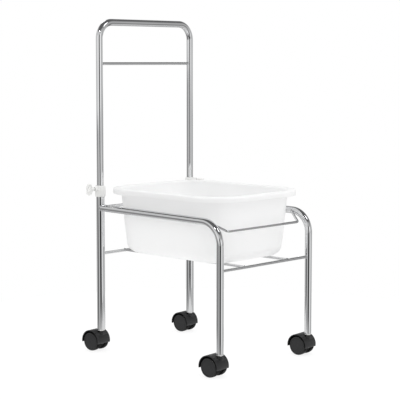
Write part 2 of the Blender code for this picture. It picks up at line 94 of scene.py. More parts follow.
# Tub
TUB_CORNER = 0.102
TUB_CORNER_TAPER = 0.92
TUB_RIM_DROP = 0.0145
TUB_WALL = 0.0025
TUB_INSET = 0.0207
TUB_DRAFT = 0.105
TUB_FILLET = 0.026
TUB_CORNER_STEPS = 26
TUB_SIDE_STEPS = 14

# Casters
WHEEL_IN = 0.0068
WHEEL_OUT = 0.0238
HOOD_OUT_R = 0.0294
HOOD_IN_R = 0.0270
HOOD_SHIFT = 0.0010           # the hood's centre is this much behind and over the axle
HOOD_FRONT_ANGLE = math.radians(190)
HOOD_REAR_ANGLE = math.radians(-8)
WEB_HALF = 0.0062
STEM_R = 0.004
STEM_LOW_Z = 0.036
STEM_BOSS_R = 0.0064
AXLE_R = 0.003
AXLE_HALF = 0.0190
WHEEL_EDGE = 0.0026           # the polished edge of a wheel's face is this deep

# Clamps
FIT = 0.0003                  # clearance between pieces that move in each other
COLLAR_R = 0.0142
KNOB_CENTRE = 0.0385
KNOB_HALF_WIDTH = 0.0085
KNOB_LOBE = 0.0067
SCREW_R = 0.0025
SCREW_HOLE_R = 0.0027
SCREW_PITCH = 0.0008

# The camera, where the photographer stood
CAMERA_PLACE = (-2.4545, -2.3494, 0.7711)
CAMERA_YAW = math.radians(-46.323)
CAMERA_PITCH = math.radians(5.2582)
CAMERA_LENS = 116.63
CAMERA_SHIFT_Y = -0.05


# ---------------------------------------------------------------- shader nodes
def node(tree, kind, inputs=None, **settings):
    """A new node; inputs are values, or output sockets to join to."""
    made = tree.nodes.new(kind)
    for name, value in settings.items():
        setattr(made, name, value)
    for name, value in (inputs or {}).items():
        if isinstance(value, bpy.types.NodeSocket):
            tree.links.new(value, made.inputs[name])
        else:
            made.inputs[name].default_value = value
    return made


def ramp(tree, factor, stops):
    """A colour ramp; stops are (position, grey or colour)."""
    made = node(tree, "ShaderNodeValToRGB", {"Fac": factor})
    made.color_ramp.interpolation = "LINEAR"
    elements = made.color_ramp.elements
    while len(elements) > 1:
        elements.remove(elements[-1])
    for index, (position, colour) in enumerate(stops):
        element = elements[0] if index == 0 else elements.new(position)
        element.position = position
        rgb = (colour,) * 3 if isinstance(colour, (int, float)) else colour
        element.color = (*rgb, 1)
    return made.outputs["Color"]


def noise(tree, place, scale, detail=2.0, roughness=0.5, stretch=(1, 1, 1)):
    """Noise over the piece, in its own coordinates."""
    mapping = node(tree, "ShaderNodeMapping", {"Vector": place, "Scale": stretch})
    vector = mapping.outputs["Vector"]
    inputs = {"Vector": vector, "Scale": scale, "Detail": detail, "Roughness": roughness}
    return node(tree, "ShaderNodeTexNoise", inputs).outputs["Fac"]


def between(tree, factor, low, high, start=0.3, end=0.7):
    """The factor's range start to end, spread over low to high."""
    inputs = {"Value": factor, "From Min": start, "From Max": end, "To Min": low, "To Max": high}
    return node(tree, "ShaderNodeMapRange", inputs).outputs["Result"]


def math_node(tree, operation, first, second=0.0):
    """One sum."""
    made = node(tree, "ShaderNodeMath", {0: first, 1: second}, operation=operation)
    return made.outputs["Value"]


def mixed(tree, factor, first, second, blend="MIX"):
    """Two colours mixed."""
    made = node(tree, "ShaderNodeMix", {"Factor": factor}, data_type="RGBA", blend_type=blend)
    for name, value in (("A", first), ("B", second)):
        socket = [s for s in made.inputs if s.name == name and s.type == "RGBA"][0]
        if isinstance(value, bpy.types.NodeSocket):
            tree.links.new(value, socket)
        else:
            socket.default_value = (*value, 1)
    return [s for s in made.outputs if s.type == "RGBA"][0]


def bump(tree, height, strength, distance, normal=None):
    """A height as surface relief."""
    inputs = {"Height": height, "Strength": strength, "Distance": distance}
    if normal:
        inputs["Normal"] = normal
    return node(tree, "ShaderNodeBump", inputs).outputs["Normal"]


def new_material(name):
    """A material with its shader, and the piece's own coordinates."""
    material = bpy.data.materials.new(name)
    material.use_nodes = True
    tree = material.node_tree
    shader = tree.nodes["Principled BSDF"]
    place = node(tree, "ShaderNodeTexCoord").outputs["Object"]
    return material, tree, shader, place


def chrome():
    """Plated steel tube: bright, with wiped smudges, fine scratches and a trace of orange peel."""
    material, tree, shader, place = new_material("chrome_plate")
    shader.inputs["Metallic"].default_value = 1.0
    cloud = noise(tree, place, 14, 3)
    tint = ramp(tree, cloud, ((0.30, (0.67, 0.675, 0.685)), (0.70, (0.71, 0.715, 0.72))))
    tree.links.new(tint, shader.inputs["Base Color"])
    smudge = noise(tree, place, 38, 6, 0.6)
    gloss = between(tree, smudge, 0.02, 0.07, 0.40, 0.75)
    scratches = noise(tree, place, 60, 3, 0.7, (18, 18, 1))
    hairline = between(tree, scratches, 0.0, 0.04, 0.60, 0.72)
    tree.links.new(math_node(tree, "ADD", gloss, hairline), shader.inputs["Roughness"])
    peel = bump(tree, noise(tree, place, 120, 2), 0.04, 0.0003)
    tree.links.new(peel, shader.inputs["Normal"])
    return material


def steel():
    """Zinc-plated steel of the screws, stems and axles."""
    material, tree, shader, place = new_material("zinc_steel")
    shader.inputs["Metallic"].default_value = 1.0
    cloud = noise(tree, place, 220, 4, 0.6)
    colours = ((0.30, (0.47, 0.47, 0.46)), (0.70, (0.66, 0.66, 0.65)))
    tree.links.new(ramp(tree, cloud, colours), shader.inputs["Base Color"])
    tree.links.new(between(tree, cloud, 0.22, 0.42), shader.inputs["Roughness"])
    turning = noise(tree, place, 500, 2, 0.5, (1, 1, 6))
    tree.links.new(bump(tree, turning, 0.15, 0.0002), shader.inputs["Normal"])
    return material


def white_plastic(name, dark, light, roughness, grain, seed, depth):
    """Moulded white plastic: faint cloudiness, uneven gloss, moulded grain and hairline scuffs."""
    material, tree, shader, place = new_material(name)
    shader.inputs["IOR"].default_value = 1.49
    shader.inputs["Subsurface Weight"].default_value = 0.8
    shader.inputs["Subsurface Radius"].default_value = (1.0, 1.0, 1.0)
    shader.inputs["Subsurface Scale"].default_value = depth
    shift = node(tree, "ShaderNodeMapping", {"Vector": place, "Location": (seed, seed, seed)})
    place = shift.outputs["Vector"]
    cloud = noise(tree, place, 7, 4, 0.55)
    tint = ramp(tree, cloud, ((0.32, dark), (0.68, light)))
    scuff = noise(tree, place, 26, 5, 0.75, (1, 3, 9))
    marks = ramp(tree, scuff, ((0.63, 1.0), (0.70, 0.965)))
    tree.links.new(mixed(tree, 1.0, tint, marks, "MULTIPLY"), shader.inputs["Base Color"])
    gloss = between(tree, noise(tree, place, 55, 4), roughness - 0.05, roughness + 0.07)
    worn = between(tree, scuff, 0.0, 0.10, 0.60, 0.72)
    tree.links.new(math_node(tree, "ADD", gloss, worn), shader.inputs["Roughness"])
    fine = bump(tree, noise(tree, place, grain, 3, 0.6), 0.10, 0.0003)
    wave = bump(tree, noise(tree, place, 11, 2), 0.10, 0.0015, fine)
    tree.links.new(wave, shader.inputs["Normal"])
    return material


def black_plastic(name, dark, light, roughness, dust):
    """Black nylon: spark-eroded mould grain, rubbed edges and dust from the floor.

    Where the mesh's own tread value is 1 it is matt black rubber, round 0.5 it is the polished edge
    of a wheel's face, and narrow gaps get painted shade: an ambient-occlusion mask darkens their
    colour and dims their specular.
    """
    material, tree, shader, place = new_material(name)
    cloud = noise(tree, place, 60, 5, 0.65)
    tint = ramp(tree, cloud, ((0.30, dark), (0.72, light)))
    edge = node(tree, "ShaderNodeNewGeometry").outputs["Pointiness"]
    rubbed = between(tree, edge, 0.0, 0.35, 0.52, 0.60)
    tint = mixed(tree, rubbed, tint, (0.06, 0.06, 0.062))
    specks = between(tree, noise(tree, place, 420, 4, 0.7), 0.0, dust, 0.60, 0.78)
    tint = mixed(tree, specks, tint, (0.20, 0.195, 0.19))
    tread = node(tree, "ShaderNodeAttribute", attribute_name="tread").outputs["Fac"]
    rubber = between(tree, tread, 0.0, 1.0, 0.1, 0.4)
    tint = mixed(tree, rubber, tint, (0.0035, 0.0035, 0.0037))
    off_edge = math_node(tree, "ABSOLUTE", math_node(tree, "SUBTRACT", tread, 0.5))
    polished = between(tree, off_edge, 1.0, 0.0, 0.1, 0.3)
    # Painted shade: ambient occlusion darkens the colour towards black in narrow gaps.
    painted_gap_shade = node(tree, "ShaderNodeAmbientOcclusion", {"Distance": 0.006}, samples=8).outputs["AO"]
    tint = mixed(tree, between(tree, painted_gap_shade, 1.0, 0.0, 0.15, 0.75), tint, (0.002, 0.002, 0.002))
    tree.links.new(tint, shader.inputs["Base Color"])
    gloss = between(tree, cloud, roughness - 0.06, roughness + 0.08)
    gloss = math_node(tree, "ADD", gloss, specks)
    gloss = math_node(tree, "SUBTRACT", gloss, math_node(tree, "MULTIPLY", polished, roughness - 0.16))
    tree.links.new(gloss, shader.inputs["Roughness"])
    # Painted shade: the same occlusion mask dims the specular in narrow gaps.
    shine = between(tree, painted_gap_shade, 0.02, 0.36, 0.15, 0.75)
    shine = math_node(tree, "SUBTRACT", shine, math_node(tree, "MULTIPLY", rubber, 0.30))
    shine = math_node(tree, "MAXIMUM", shine, math_node(tree, "MULTIPLY", polished, 0.45))
    tree.links.new(shine, shader.inputs["Specular IOR Level"])
    grain = bump(tree, noise(tree, place, 1500, 2), 0.22, 0.0002)
    tree.links.new(grain, shader.inputs["Normal"])
    return material


CHROME = chrome()
STEEL = steel()
TUB_WHITE = white_plastic(
    "tub_polypropylene", (0.945, 0.948, 0.95), (0.962, 0.964, 0.964), 0.36, 1300, 0.0, 0.012)
CLAMP_WHITE = white_plastic(
    "clamp_nylon", (0.80, 0.80, 0.79), (0.86, 0.86, 0.85), 0.38, 2200, 3.0, 0.002)
HOUSING_BLACK = black_plastic(
    "housing_nylon", (0.013, 0.0132, 0.014), (0.019, 0.0192, 0.020), 0.42, 0.06)
WHEEL_BLACK = black_plastic("wheel_nylon", (0.012, 0.0122, 0.013), (0.018, 0.0182, 0.019), 0.46, 0.10)


# ---------------------------------------------------------------- mesh building
def as_mesh(bm, name):
    """The bmesh as a mesh with its faces pointing out."""
    bmesh.ops.recalc_face_normals(bm, faces=bm.faces)
    mesh = bpy.data.meshes.new(name)
    bm.to_mesh(mesh)
    bm.free()
    return mesh


def bridge(bm, ring_a, ring_b):
    """Quads between two rings with the same number of points."""
    count = len(ring_a)
    for i in range(count):
        j = (i + 1) % count
        bm.faces.new((ring_a[i], ring_a[j], ring_b[j], ring_b[i]))


def bridge_all(bm, rings, closed=False):
    """Quads between each ring and the next."""
    for a, b in zip(rings, rings[1:]):
        bridge(bm, a, b)
    if closed:
        bridge(bm, rings[-1], rings[0])


def capped(bm, rings, name):
    """Rings joined into one closed solid with flat ends, as a mesh."""
    bridge_all(bm, rings)
    bm.faces.new(rings[0])
    bm.faces.new(rings[-1])
    return as_mesh(bm, name)


def add_object(name, data):
    """A new object in the scene."""
    made = bpy.data.objects.new(name, data)
    bpy.context.scene.collection.objects.link(made)
    return made


def soften(points, radius, steps=4, closed=False):
    """A polyline with its corners rounded; no corner takes over 45% of a side."""
    points = [Vector(p) for p in points]
    count = len(points)
    rounded = []
    for i, corner in enumerate(points):
        if not closed and i in (0, count - 1):
            rounded.append(corner)
            continue
        before = points[i - 1] - corner
        after = points[(i + 1) % count] - corner
        start = corner + before.normalized() * min(radius, 0.45 * before.length)
        end = corner + after.normalized() * min(radius, 0.45 * after.length)
        for k in range(steps + 1):
            t = k / steps
            rounded.append(start.lerp(corner, t).lerp(corner.lerp(end, t), t))
    return rounded


def bent_path(corners, radius, steps=BEND_STEPS):
    """A polyline whose inner corners are true arcs."""
    corners = [Vector(c) for c in corners]
    path = [corners[0]]
    for before, corner, after in zip(corners, corners[1:], corners[2:]):
        back = (before - corner).normalized()
        ahead = (after - corner).normalized()
        half = back.angle(ahead) / 2
        middle = corner + (back + ahead).normalized() * radius / math.sin(half)
        start = corner + back * radius / math.tan(half) - middle
        axis = start.cross(corner - middle).normalized()
        sweep = math.pi - 2 * half
        for k in range(steps + 1):
            path.append(middle + Matrix.Rotation(sweep * k / steps, 3, axis) @ start)
    path.append(corners[-1])
    return path


def path_frames(path):
    """Point, tangent, normal and side along a path, without twist."""
    frames = []
    tangent = (path[1] - path[0]).normalized()
    normal = tangent.orthogonal().normalized()
    for i, point in enumerate(path):
        before = path[max(i - 1, 0)]
        after = path[min(i + 1, len(path) - 1)]
        turned_to = (after - before).normalized()
        normal.rotate(tangent.rotation_difference(turned_to))
        tangent = turned_to
        frames.append((point, tangent.copy(), normal.copy(), tangent.cross(normal)))
    return frames


def ring_at(bm, place, radius, sides, ahead=0.0):
    """A ring of points round a path's frame."""
    point, tangent, normal, side = place
    ring = []
    for k in range(sides):
        angle = 2 * math.pi * k / sides
        offset = (normal * math.cos(angle) + side * math.sin(angle)) * radius
        ring.append(bm.verts.new(point + tangent * ahead + offset))
    return ring


def tube(path, radius, sides, wall=0.0, lip=0.0004, trims=(None, None)):
    """A tube, or a bar when it has no wall, with rounded lips at its ends.

    A trim moves the points of an end onto the surface that the end is welded to, instead of a lip.
    A ring close behind each lip keeps the long straight faces from being shaded with its slope.
    """
    bm = bmesh.new()
    frames = path_frames(path)
    start_lip, end_lip = (0 if trim else lip for trim in trims)
    hold = lip * 2
    rings = []
    if start_lip:
        rings.append(ring_at(bm, frames[0], radius - lip, sides))
        rings.append(ring_at(bm, frames[0], radius - lip * 0.3, sides, lip * 0.3))
    rings.append(ring_at(bm, frames[0], radius, sides, start_lip))
    if start_lip:
        rings.append(ring_at(bm, frames[0], radius, sides, start_lip + hold))
    rings += [ring_at(bm, place, radius, sides) for place in frames[1:-1]]
    if end_lip:
        rings.append(ring_at(bm, frames[-1], radius, sides, -end_lip - hold))
    rings.append(ring_at(bm, frames[-1], radius, sides, -end_lip))
    if end_lip:
        rings.append(ring_at(bm, frames[-1], radius - lip * 0.3, sides, -lip * 0.3))
        rings.append(ring_at(bm, frames[-1], radius - lip, sides))
    bridge_all(bm, rings)
    ends = [rings[0], rings[-1]]
    if wall:
        bores = [ring_at(bm, place, radius - wall, sides) for place in frames]
        bridge_all(bm, bores)
        bridge(bm, bores[0], rings[0])
        bridge(bm, bores[-1], rings[-1])
        ends = [rings[0] + bores[0], rings[-1] + bores[-1]]
    else:
        bm.faces.new(rings[0])
        bm.faces.new(rings[-1])
    for trim, end in zip(trims, ends):
        if trim:
            for vertex in end:
                vertex.co = trim(vertex.co)
    return as_mesh(bm, "tube")


def lathe(profile, segments, axis="Z"):
    """A turned piece; the profile is (radius, distance along the axis).

    A profile with both ends on the axis makes a solid, any other one a closed ring.
    """
    bm = bmesh.new()
    rings = []
    for radius, along in profile:
        if radius < 1e-7:
            rings.append([bm.verts.new((0, 0, along))])
            continue
        angles = [2 * math.pi * k / segments for k in range(segments)]
        points = [(radius * math.cos(a), radius * math.sin(a), along) for a in angles]
        rings.append([bm.verts.new(point) for point in points])
    pairs = list(zip(rings, rings[1:]))
    if len(rings[0]) > 1:
        pairs.append((rings[-1], rings[0]))
    for a, b in pairs:
        if len(a) > 1 and len(b) > 1:
            bridge(bm, a, b)
        else:
            tip, ring = (a[0], b) if len(a) == 1 else (b[0], a)
            for k in range(segments):
                bm.faces.new((ring[k], ring[(k + 1) % segments], tip))
    if axis == "X":
        bmesh.ops.rotate(bm, verts=bm.verts, matrix=Matrix.Rotation(math.pi / 2, 3, "Y"))
    return as_mesh(bm, "turned")


def slab(outline, low, high):
    """An outline in the YZ plane, made solid between two X levels."""
    bm = bmesh.new()
    ends = [[bm.verts.new((x, u, v)) for u, v in outline] for x in (low, high)]
    return capped(bm, ends, "slab")


def evaluated(mesh, name, kind, **settings):
    """The mesh as one modifier leaves it."""
    item = add_object("working", mesh)
    modifier = item.modifiers.new(name, kind)
    for key, value in settings.items():
        setattr(modifier, key, value)
    depsgraph = bpy.context.evaluated_depsgraph_get()
    result = bpy.data.meshes.new_from_object(item.evaluated_get(depsgraph))
    bpy.data.objects.remove(item)
    return result


def combined(mesh, tool, operation="UNION"):
    """Two solids joined, or the second cut out of the first."""
    helper = add_object("helper", tool)
    result = evaluated(mesh, "combine", "BOOLEAN", operation=operation, solver="EXACT", object=helper)
    bpy.data.objects.remove(helper)
    return result


def gathered(*meshes):
    """Several meshes as one."""
    bm = bmesh.new()
    for mesh in meshes:
        bm.from_mesh(mesh)
    return as_mesh(bm, "gathered")


def moved(mesh, matrix):
    """A copy of a mesh, moved; a mirroring matrix keeps the faces pointing out."""
    copy = mesh.copy()
    copy.transform(matrix)
    if matrix.determinant() < 0:
        copy.flip_normals()
    return copy


def mirror_for(side):
    """The matrix that turns a right-hand drawing into that side's."""
    return Matrix.Diagonal((side, 1, 1, 1))


def piece(name, mesh, body, material, nodes, sharp=38):
    """A visible piece: its mesh, its finish, the body it rides on and the nodes it stands for."""
    mesh.materials.clear()
    mesh.materials.append(material)
    mesh.shade_smooth()
    mesh.set_sharp_from_angle(angle=math.radians(sharp))
    made = add_object(name, mesh)
    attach(made, body)
    if nodes:
        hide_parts(*nodes)
    return made


def middle_of(node_name):
    """The middle of a CAD node's box."""
    low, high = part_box(node_name)
    return (low + high) / 2


# ---------------------------------------------------------------- welds
def onto_cylinder(centre, radius, run, across):
    """A trim: moves a point along the run axis onto a cylinder's near side.

    run and across are axis numbers; across is measured from the cylinder's own axis. The fourth
    number of centre is the side of the cylinder that the point lands on.
    """
    near_side = centre[3]

    def trim(point):
        offset = min(abs(point[across] - centre[across]), radius)
        depth = math.sqrt(radius * radius - offset * offset)
        landed = point.copy()
        landed[run] = centre[run] + math.copysign(depth, near_side)
        return landed

    return trim


def bead(centre, host_radius, rod, rod_radius, run, across, size):
    """A weld bead round a rod where it meets a tube, with the ripples of the torch.

    centre is the tube's axis point with the side the rod comes from as a fourth number.
    """
    bm = bmesh.new()
    count = 72
    sides = 10
    trim = onto_cylinder(centre, host_radius, run, across)
    other = 3 - run - across
    points = []
    for k in range(count):
        angle = 2 * math.pi * k / count
        point = Vector(rod)
        point[across] += rod_radius * math.cos(angle)
        point[other] += rod_radius * math.sin(angle)
        points.append(trim(point))
    axis = Vector((0, 0, 0))
    axis[run] = 1
    rings = []
    for k, point in enumerate(points):
        tangent = (points[(k + 1) % count] - points[k - 1]).normalized()
        normal = (axis - tangent * axis.dot(tangent)).normalized()
        place = (point, tangent, normal, tangent.cross(normal))
        swell = 1 + 0.10 * math.sin(k * math.pi / 2) + 0.12 * math.sin(k * 0.61)
        rings.append(ring_at(bm, place, size * swell, sides))
    bridge_all(bm, rings, closed=True)
    return as_mesh(bm, "bead")


# ---------------------------------------------------------------- trolley frame
def corner_axis(corner):
    """Where a leg's axis stands, at floor level."""
    x, y, _ = JOINTS[f"{corner}_swivel"]["pos_m"]
    return Vector((x, y, 0))


def build_side(label, side):
    """A rear leg, and the side rail that bends down into the front leg."""
    rear = corner_axis(f"rear_{label}")
    front = corner_axis(f"front_{label}")
    low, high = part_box(f"{label}_rear_leg")
    leg_path = [Vector((rear.x, rear.y, low.z)), Vector((rear.x, rear.y, high.z))]
    leg = tube(leg_path, REAR_LEG_R, TUBE_SIDES, LEG_WALL)
    piece(f"{label}_rear_leg_tube", leg, FRAME_BODY, CHROME, [f"{label}_rear_leg"])

    rail_low, rail_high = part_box(f"{label}_side_rail")
    rear_z = rail_high.z - RAIL_R
    corners = [
        (rear.x, rear.y, rear_z),
        (front.x, front.y, rear_z - RAIL_FALL),
        (front.x, front.y, rail_low.z),
    ]
    path = bent_path(corners, RAIL_BEND)
    leg_side = (rear.x, rear.y, 0, -1)
    trims = (onto_cylinder(leg_side, REAR_LEG_R, 1, 0), None)
    rail = tube(path, RAIL_R, TUBE_SIDES, LEG_WALL, trims=trims)
    piece(f"{label}_side_rail_tube", rail, FRAME_BODY, CHROME, [f"{label}_side_rail"])

    upper = middle_of("rear_upper_rod")
    rear_rod = middle_of("rear_lower_rod")
    front_rod = middle_of("front_lower_rod")
    inwards = -side
    rear_side = (rear.x, rear.y, 0, inwards)
    front_side = (front.x, front.y, 0, inwards)
    welds = [bead(leg_side, REAR_LEG_R, (rear.x, rear.y, rear_z), RAIL_R, 1, 0, WELD_R)]
    for rod, host, host_r in (
        (upper, rear_side, REAR_LEG_R),
        (rear_rod, rear_side, REAR_LEG_R),
        (front_rod, front_side, RAIL_R),
    ):
        place = (host[0], rod.y, rod.z)
        welds.append(bead(host, host_r, place, ROD_R, 0, 1, ROD_WELD_R))
    support = middle_of(f"{label}_support_rod")
    for rod, towards in ((rear_rod, -1), (front_rod, 1)):
        host = (0, rod.y, rod.z, towards)
        place = (support.x, rod.y, support.z)
        welds.append(bead(host, ROD_R, place, SUPPORT_ROD_R, 1, 2, ROD_WELD_R * 0.8))
    piece(f"{label}_frame_welds", gathered(*welds), FRAME_BODY, CHROME, [], 60)

    ends = [
        Vector((support.x, rear_rod.y, support.z)),
        Vector((support.x, front_rod.y, support.z)),
    ]
    trims = (
        onto_cylinder((0, rear_rod.y, rear_rod.z, -1), ROD_R, 1, 2),
        onto_cylinder((0, front_rod.y, front_rod.z, 1), ROD_R, 1, 2),
    )
    rod = tube(ends, SUPPORT_ROD_R, ROD_SIDES, trims=trims)
    piece(f"{label}_support_bar", rod, FRAME_BODY, CHROME, [f"{label}_support_rod"])


def build_cross_rods():
    """The rods between the two sides, each trimmed to the tubes that it is welded to."""
    for name, corner, host_r in (
        ("rear_upper_rod", "rear", REAR_LEG_R),
        ("rear_lower_rod", "rear", REAR_LEG_R),
        ("front_lower_rod", "front", RAIL_R),
    ):
        at = middle_of(name)
        left = corner_axis(f"{corner}_left")
        right = corner_axis(f"{corner}_right")
        path = [Vector((left.x, at.y, at.z)), Vector((right.x, at.y, at.z))]
        trims = (
            onto_cylinder((left.x, left.y, 0, 1), host_r, 0, 1),
            onto_cylinder((right.x, right.y, 0, -1), host_r, 0, 1),
        )
        rod = tube(path, ROD_R, ROD_SIDES, trims=trims)
        piece(name.replace("_rod", "_bar"), rod, FRAME_BODY, CHROME, [name])


def build_guard_rod():
    """The bent rod in front of the tub, let into the inner sides of the two rails."""
    low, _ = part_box("front_guard_rod")
    _, rail_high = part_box("right_side_rail")
    left = corner_axis("front_left")
    right = corner_axis("front_right")
    share = GUARD_END[0] / (corner_axis("rear_left").y - left.y)
    end_z = rail_high.z - RAIL_R - RAIL_FALL * (1 - share) + GUARD_END[1]
    corner_z = low.z + GUARD_R
    sink = RAIL_R * 0.6
    corners = [
        (left.x + sink, left.y + GUARD_END[0], end_z),
        (-GUARD_CORNER[0], left.y + GUARD_CORNER[1], corner_z),
        (GUARD_CORNER[0], left.y + GUARD_CORNER[1], corner_z),
        (right.x - sink, right.y + GUARD_END[0], end_z),
    ]
    rod = tube(bent_path(corners, GUARD_BEND, 14), GUARD_R, ROD_SIDES)
    piece("front_guard_bar", rod, FRAME_BODY, CHROME, ["front_guard_rod"])


def build_sockets():
    """The pale plastic plugs that close the legs' ends over the casters."""
    for corner in CORNERS:
        at = corner_axis(corner)
        low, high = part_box(f"{corner}_leg_socket")
        host_r = REAR_LEG_R if corner.startswith("rear") else RAIL_R
        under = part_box(f"{corner.split('_')[1]}_rear_leg")[0].z - 0.0003
        plug = host_r - LEG_WALL - 0.0003
        bore = 0.0048
        profile = [
            (bore, low.z),
            (0.0063, low.z),
            (0.0072, under - 0.0012),
            (host_r - 0.0003, under - 0.0010),
            (host_r - 0.0003, under),
            (plug, under),
            (plug, high.z),
            (bore, high.z),
        ]
        outline = soften([(r, z) for r, z in profile], 0.0004, 3, closed=True)
        mesh = moved(lathe(outline, 48), Matrix.Translation(at))
        name = f"{corner}_leg_plug"
        piece(name, mesh, FRAME_BODY, CLAMP_WHITE, [f"{corner}_leg_socket"])


# ---------------------------------------------------------------- handle and its clamps
def build_handle():
    """The U-shaped handle, its crossbar and the crossbar's welds."""
    low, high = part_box("handle_tube")
    left = corner_axis("rear_left")
    right = corner_axis("rear_right")
    top = high.z - HANDLE_R
    corners = [
        (left.x, left.y, low.z),
        (left.x, left.y, top),
        (right.x, right.y, top),
        (right.x, right.y, low.z),
    ]
    bow = tube(bent_path(corners, HANDLE_BEND), HANDLE_R, TUBE_SIDES, HANDLE_WALL)
    piece("handle_bow", bow, "handle", CHROME, ["handle_tube"])
    bar = middle_of("handle_crossbar")
    path = [Vector((left.x, bar.y, bar.z)), Vector((right.x, bar.y, bar.z))]
    hosts = ((left.x, left.y, 0, 1), (right.x, right.y, 0, -1))
    trims = [onto_cylinder(host, HANDLE_R, 0, 1) for host in hosts]
    rod = tube(path, ROD_R, ROD_SIDES, trims=trims)
    piece("handle_cross_bar", rod, "handle", CHROME, ["handle_crossbar"])
    welds = [bead(host, HANDLE_R, (host[0], bar.y, bar.z), ROD_R, 0, 1, ROD_WELD_R) for host in hosts]
    piece("handle_welds", gathered(*welds), "handle", CHROME, [], 60)


def screw_hole(start, end):
    """A cutter for the clamp screw's hole, along X from the leg axis."""
    outline = [(0, start), (SCREW_HOLE_R, start), (SCREW_HOLE_R, end), (0, end)]
    return lathe(outline, 32, "X")


def collar_mesh(low, high):
    """The right collar at its leg axis: a slightly barrelled sleeve with lips and the screw's boss."""
    bore = REAR_LEG_R + FIT
    mouth = HANDLE_R + FIT
    ledge = high - 0.0022
    radius = COLLAR_R
    profile = [
        (bore, low),
        (radius - 0.0012, low),
        (radius - 0.0006, low + 0.0012),
        (radius - 0.0008, low + 0.0020),
        (radius - 0.0002, low + 0.0060),
        (radius, (low + high) / 2),
        (radius - 0.0002, high - 0.0080),
        (radius - 0.0010, high - 0.0034),
        (radius - 0.0012, high - 0.0026),
        (radius - 0.0024, high),
        (mouth, high),
        (mouth, ledge),
        (bore, ledge),
    ]
    sleeve = lathe(soften(profile, 0.0008, 4, closed=True), 84)
    screw_z = JOINTS["right_screw_turn"]["pos_m"][2]
    boss_profile = [
        (0, 0.0128),
        (0.0072, 0.0128),
        (0.0066, 0.0146),
        (0.0061, 0.0165),
        (0.0060, 0.0198),
        (0.0052, 0.0205),
        (0.0030, 0.0205),
        (0.0028, 0.0200),
        (0, 0.0200),
    ]
    boss = lathe(boss_profile, 48, "X")
    boss.transform(Matrix.Translation((0, 0, screw_z)))
    rib_x = -0.0139
    rib_half = 0.0005
    foot, head = low + 0.003, high - 0.004
    rib_outline = [(-rib_half, foot), (rib_half, foot), (rib_half, head), (-rib_half, head)]
    rib = slab(rib_outline, rib_x, rib_x + 0.0012)
    sleeve = combined(combined(sleeve, boss), rib)
    hole = moved(screw_hole(0.0100, 0.0230), Matrix.Translation((0, 0, screw_z)))
    return combined(sleeve, hole, "DIFFERENCE")


def knob_point(angle, inset):
    """A point of the wing knob's outline in its XZ plane, seen along the screw's side."""
    rise = abs(math.sin(angle))
    reach = KNOB_HALF_WIDTH + KNOB_LOBE * rise ** 1.6 - inset
    return KNOB_CENTRE + reach * math.cos(angle), reach * math.sin(angle)


def knob_mesh():
    """The right wing knob at the screw's axis: a rimmed, dished wing on a turned hub."""
    count = 120
    levels = (
        (0.0006, 0.0011),
        (0.0000, 0.0018),
        (0.0004, 0.0023),
        (0.0010, 0.0025),
        (0.0017, 0.0023),
        (0.0024, 0.0015),
        (0.0032, 0.0010),
        (0.0045, 0.0008),
    )
    bm = bmesh.new()
    rings = []
    sections = [(inset, -y) for inset, y in reversed(levels)] + list(levels)
    for inset, y in sections:
        points = [knob_point(2 * math.pi * k / count, inset) for k in range(count)]
        rings.append([bm.verts.new((x, y, z)) for x, z in points])
    wing = capped(bm, rings, "wing")
    hub_profile = [
        (0, 0.0240),
        (0.0047, 0.0240),
        (0.0053, 0.0244),
        (0.0055, 0.0252),
        (0.0046, 0.0300),
        (0.0036, 0.0330),
        (0.0018, 0.0346),
        (0, 0.0350),
    ]
    hub = lathe(hub_profile, 40, "X")
    return combined(wing, hub)


def stud_mesh():
    """The clamp screw's stud with its M5 thread, along X from the leg axis."""
    per_turn = 8
    segments = 28
    start = 0.0093
    end = 0.0320
    steps = round((end - start) / SCREW_PITCH * per_turn)
    bm = bmesh.new()
    rings = []
    for i in range(steps + 1):
        along = start + (end - start) * i / steps
        ring = []
        for k in range(segments):
            angle = 2 * math.pi * k / segments
            phase = ((along - start) / SCREW_PITCH - k / segments) % 1
            radius = SCREW_R - 0.00075 * abs(phase - 0.5)
            ring.append(bm.verts.new((along, radius * math.cos(angle), radius * math.sin(angle))))
        rings.append(ring)
    return capped(bm, rings, "stud")


def build_clamps():
    """Collars, wing knobs and studs; the right knob rests a quarter turn round."""
    low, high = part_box("right_collar")
    collar = collar_mesh(low.z, high.z)
    knob = knob_mesh()
    stud = stud_mesh()
    for label, side in SIDES.items():
        at = Vector(JOINTS[f"{label}_screw_turn"]["pos_m"])
        mirror = mirror_for(side)
        stand = Matrix.Translation((at.x, at.y, 0)) @ mirror
        name = f"{label}_collar_sleeve"
        piece(name, moved(collar, stand), FRAME_BODY, CLAMP_WHITE, [f"{label}_collar"])
        body = f"{label}_clamp_screw"
        wing_low, wing_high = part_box(f"{label}_wing_knob")
        upright = wing_high.z - wing_low.z > wing_high.y - wing_low.y
        turn = Matrix.Identity(4) if upright else Matrix.Rotation(math.pi / 2, 4, "X")
        seat = Matrix.Translation(at) @ mirror @ turn
        name = f"{label}_wing"
        piece(name, moved(knob, seat), body, CLAMP_WHITE, [f"{label}_wing_knob"])
        name = f"{label}_threaded_stud"
        piece(name, moved(stud, seat), body, STEEL, [f"{label}_clamp_stud"])


